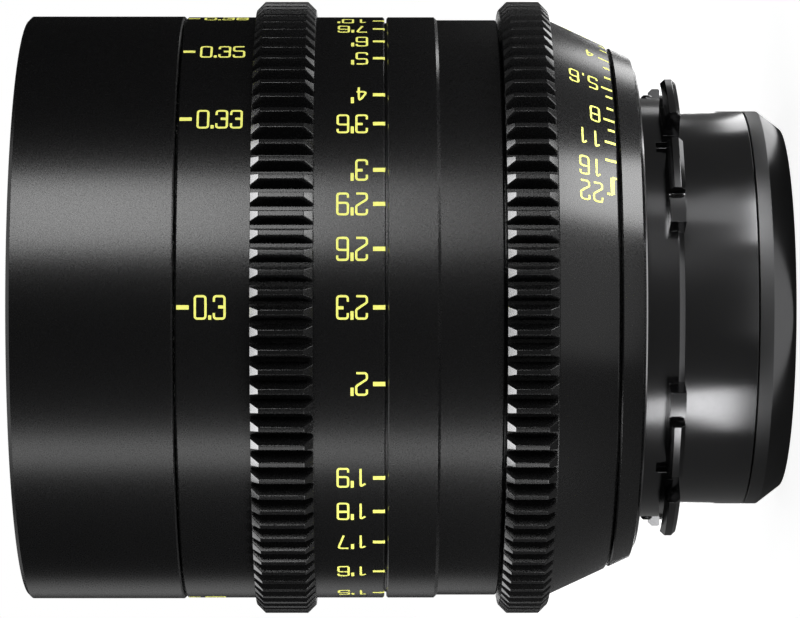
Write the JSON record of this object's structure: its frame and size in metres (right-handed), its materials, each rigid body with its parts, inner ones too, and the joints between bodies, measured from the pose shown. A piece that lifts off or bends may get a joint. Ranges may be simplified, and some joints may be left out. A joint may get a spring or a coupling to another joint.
{
  "type": "cinema prime lens",
  "caption": "Cinema prime lens: toothed focus and iris rings, bayonet-eared mount, helical cam with sliding focus group, working iris.",
  "frame": {"origin": "centre of the mount's seating face, on the optical axis", "axes": "+Z along the optical axis towards the front glass; the scales' visible side faces -Y; +X is the top of the lens when it is mounted"},
  "size_m": [0.084, 0.084, 0.1027],
  "materials": {
    "barrel_black": "satin black anodised aluminium with a fine grain",
    "inner_black": "matt black anodised aluminium inside the barrel",
    "mount_steel": "dark polished stainless steel",
    "screw_steel": "blackened steel screws",
    "roller_brass": "turned brass",
    "shim_brass": "rolled brass sheet",
    "blade_steel": "blued spring steel sheet",
    "glide_plastic": "low-friction plastic",
    "coated_glass": "coated optical glass"
  },
  "bodies": {
    "barrel": {"pl_mount": "mount_steel", "neck_buttons": "mount_steel", "mount_shim": "shim_brass", "mount_screws": "screw_steel", "rear_ring": "barrel_black", "rear_trim_ring": "barrel_black", "main_barrel": "inner_black", "rear_cell": "inner_black", "rear_crown_glass": "coated_glass", "rear_flint_glass": "coated_glass", "rear_spacer": "inner_black", "rear_glass": "coated_glass", "rear_lock_ring": "inner_black", "iris_plate": "inner_black", "iris_lock_ring": "inner_black", "mid_barrel": "barrel_black", "spigot_screws": "screw_steel", "rear_glide_ring": "glide_plastic", "front_glide_ring": "glide_plastic", "front_barrel": "barrel_black", "front_cell": "inner_black", "front_glass": "coated_glass", "front_lock_ring": "inner_black", "guard_ring": "inner_black", "second_glass": "coated_glass", "second_lock_ring": "inner_black"},
    "focus_drive": {"focus_ring": "barrel_black", "cam_tube": "inner_black", "cam_screws": "screw_steel"},
    "focus_group": {"focus_cell": "inner_black", "cam_rollers": "roller_brass", "roller_studs": "screw_steel", "focus_crown_glass": "coated_glass", "focus_flint_glass": "coated_glass", "focus_lock_ring": "inner_black", "focus_rear_glass": "coated_glass", "focus_rear_lock_ring": "inner_black"},
    "iris_drive": {"iris_ring": "barrel_black", "iris_pin": "screw_steel", "iris_actuator": "inner_black"},
    "iris_leaf_1": {"iris_blade_1": "blade_steel"},
    "iris_leaf_2": {"iris_blade_2": "blade_steel"},
    "iris_leaf_3": {"iris_blade_3": "blade_steel"},
    "iris_leaf_4": {"iris_blade_4": "blade_steel"},
    "iris_leaf_5": {"iris_blade_5": "blade_steel"},
    "iris_leaf_6": {"iris_blade_6": "blade_steel"},
    "iris_leaf_7": {"iris_blade_7": "blade_steel"},
    "iris_leaf_8": {"iris_blade_8": "blade_steel"},
    "iris_leaf_9": {"iris_blade_9": "blade_steel"}
  },
  "joints": [
    {"name": "focus_turn", "type": "hinge", "parent": "barrel", "child": "focus_drive", "pos_m": [0, 0, 0.0525], "axis": [0, 0, 1], "range_deg": [-8, 272]},
    {"name": "focus_slide", "type": "slide", "parent": "barrel", "child": "focus_group", "axis": [0, 0, 1], "range_m": [-0.00021, 0.00729]},
    {"name": "iris_turn", "type": "hinge", "parent": "barrel", "child": "iris_drive", "pos_m": [0, 0, 0.016], "axis": [0, 0, 1], "range_deg": [-19, 65]},
    {"name": "blade_1_swing", "type": "hinge", "parent": "barrel", "child": "iris_leaf_1", "pos_m": [0.0255, 0, 0.017], "axis": [0, 0, 1], "range_deg": [-5.9, 20.17]},
    {"name": "blade_2_swing", "type": "hinge", "parent": "barrel", "child": "iris_leaf_2", "pos_m": [0.01953, 0.01639, 0.017], "axis": [0, 0, 1], "range_deg": [-5.9, 20.17]},
    {"name": "blade_3_swing", "type": "hinge", "parent": "barrel", "child": "iris_leaf_3", "pos_m": [0.00443, 0.02511, 0.017], "axis": [0, 0, 1], "range_deg": [-5.9, 20.17]},
    {"name": "blade_4_swing", "type": "hinge", "parent": "barrel", "child": "iris_leaf_4", "pos_m": [-0.01275, 0.02208, 0.017], "axis": [0, 0, 1], "range_deg": [-5.9, 20.17]},
    {"name": "blade_5_swing", "type": "hinge", "parent": "barrel", "child": "iris_leaf_5", "pos_m": [-0.02396, 0.00872, 0.017], "axis": [0, 0, 1], "range_deg": [-5.9, 20.17]},
    {"name": "blade_6_swing", "type": "hinge", "parent": "barrel", "child": "iris_leaf_6", "pos_m": [-0.02396, -0.00872, 0.017], "axis": [0, 0, 1], "range_deg": [-5.9, 20.17]},
    {"name": "blade_7_swing", "type": "hinge", "parent": "barrel", "child": "iris_leaf_7", "pos_m": [-0.01275, -0.02208, 0.017], "axis": [0, 0, 1], "range_deg": [-5.9, 20.17]},
    {"name": "blade_8_swing", "type": "hinge", "parent": "barrel", "child": "iris_leaf_8", "pos_m": [0.00443, -0.02511, 0.017], "axis": [0, 0, 1], "range_deg": [-5.9, 20.17]},
    {"name": "blade_9_swing", "type": "hinge", "parent": "barrel", "child": "iris_leaf_9", "pos_m": [0.01953, -0.01639, 0.017], "axis": [0, 0, 1], "range_deg": [-5.9, 20.17]}
  ],
  "couplings": [
    {"joint": "focus_slide", "follows": "focus_turn", "m_per_rad": 0.0015347},
    {"joint": "blade_1_swing", "follows": "iris_turn", "ratio": 0.31028},
    {"joint": "blade_2_swing", "follows": "iris_turn", "ratio": 0.31028},
    {"joint": "blade_3_swing", "follows": "iris_turn", "ratio": 0.31028},
    {"joint": "blade_4_swing", "follows": "iris_turn", "ratio": 0.31028},
    {"joint": "blade_5_swing", "follows": "iris_turn", "ratio": 0.31028},
    {"joint": "blade_6_swing", "follows": "iris_turn", "ratio": 0.31028},
    {"joint": "blade_7_swing", "follows": "iris_turn", "ratio": 0.31028},
    {"joint": "blade_8_swing", "follows": "iris_turn", "ratio": 0.31028},
    {"joint": "blade_9_swing", "follows": "iris_turn", "ratio": 0.31028}
  ]
}
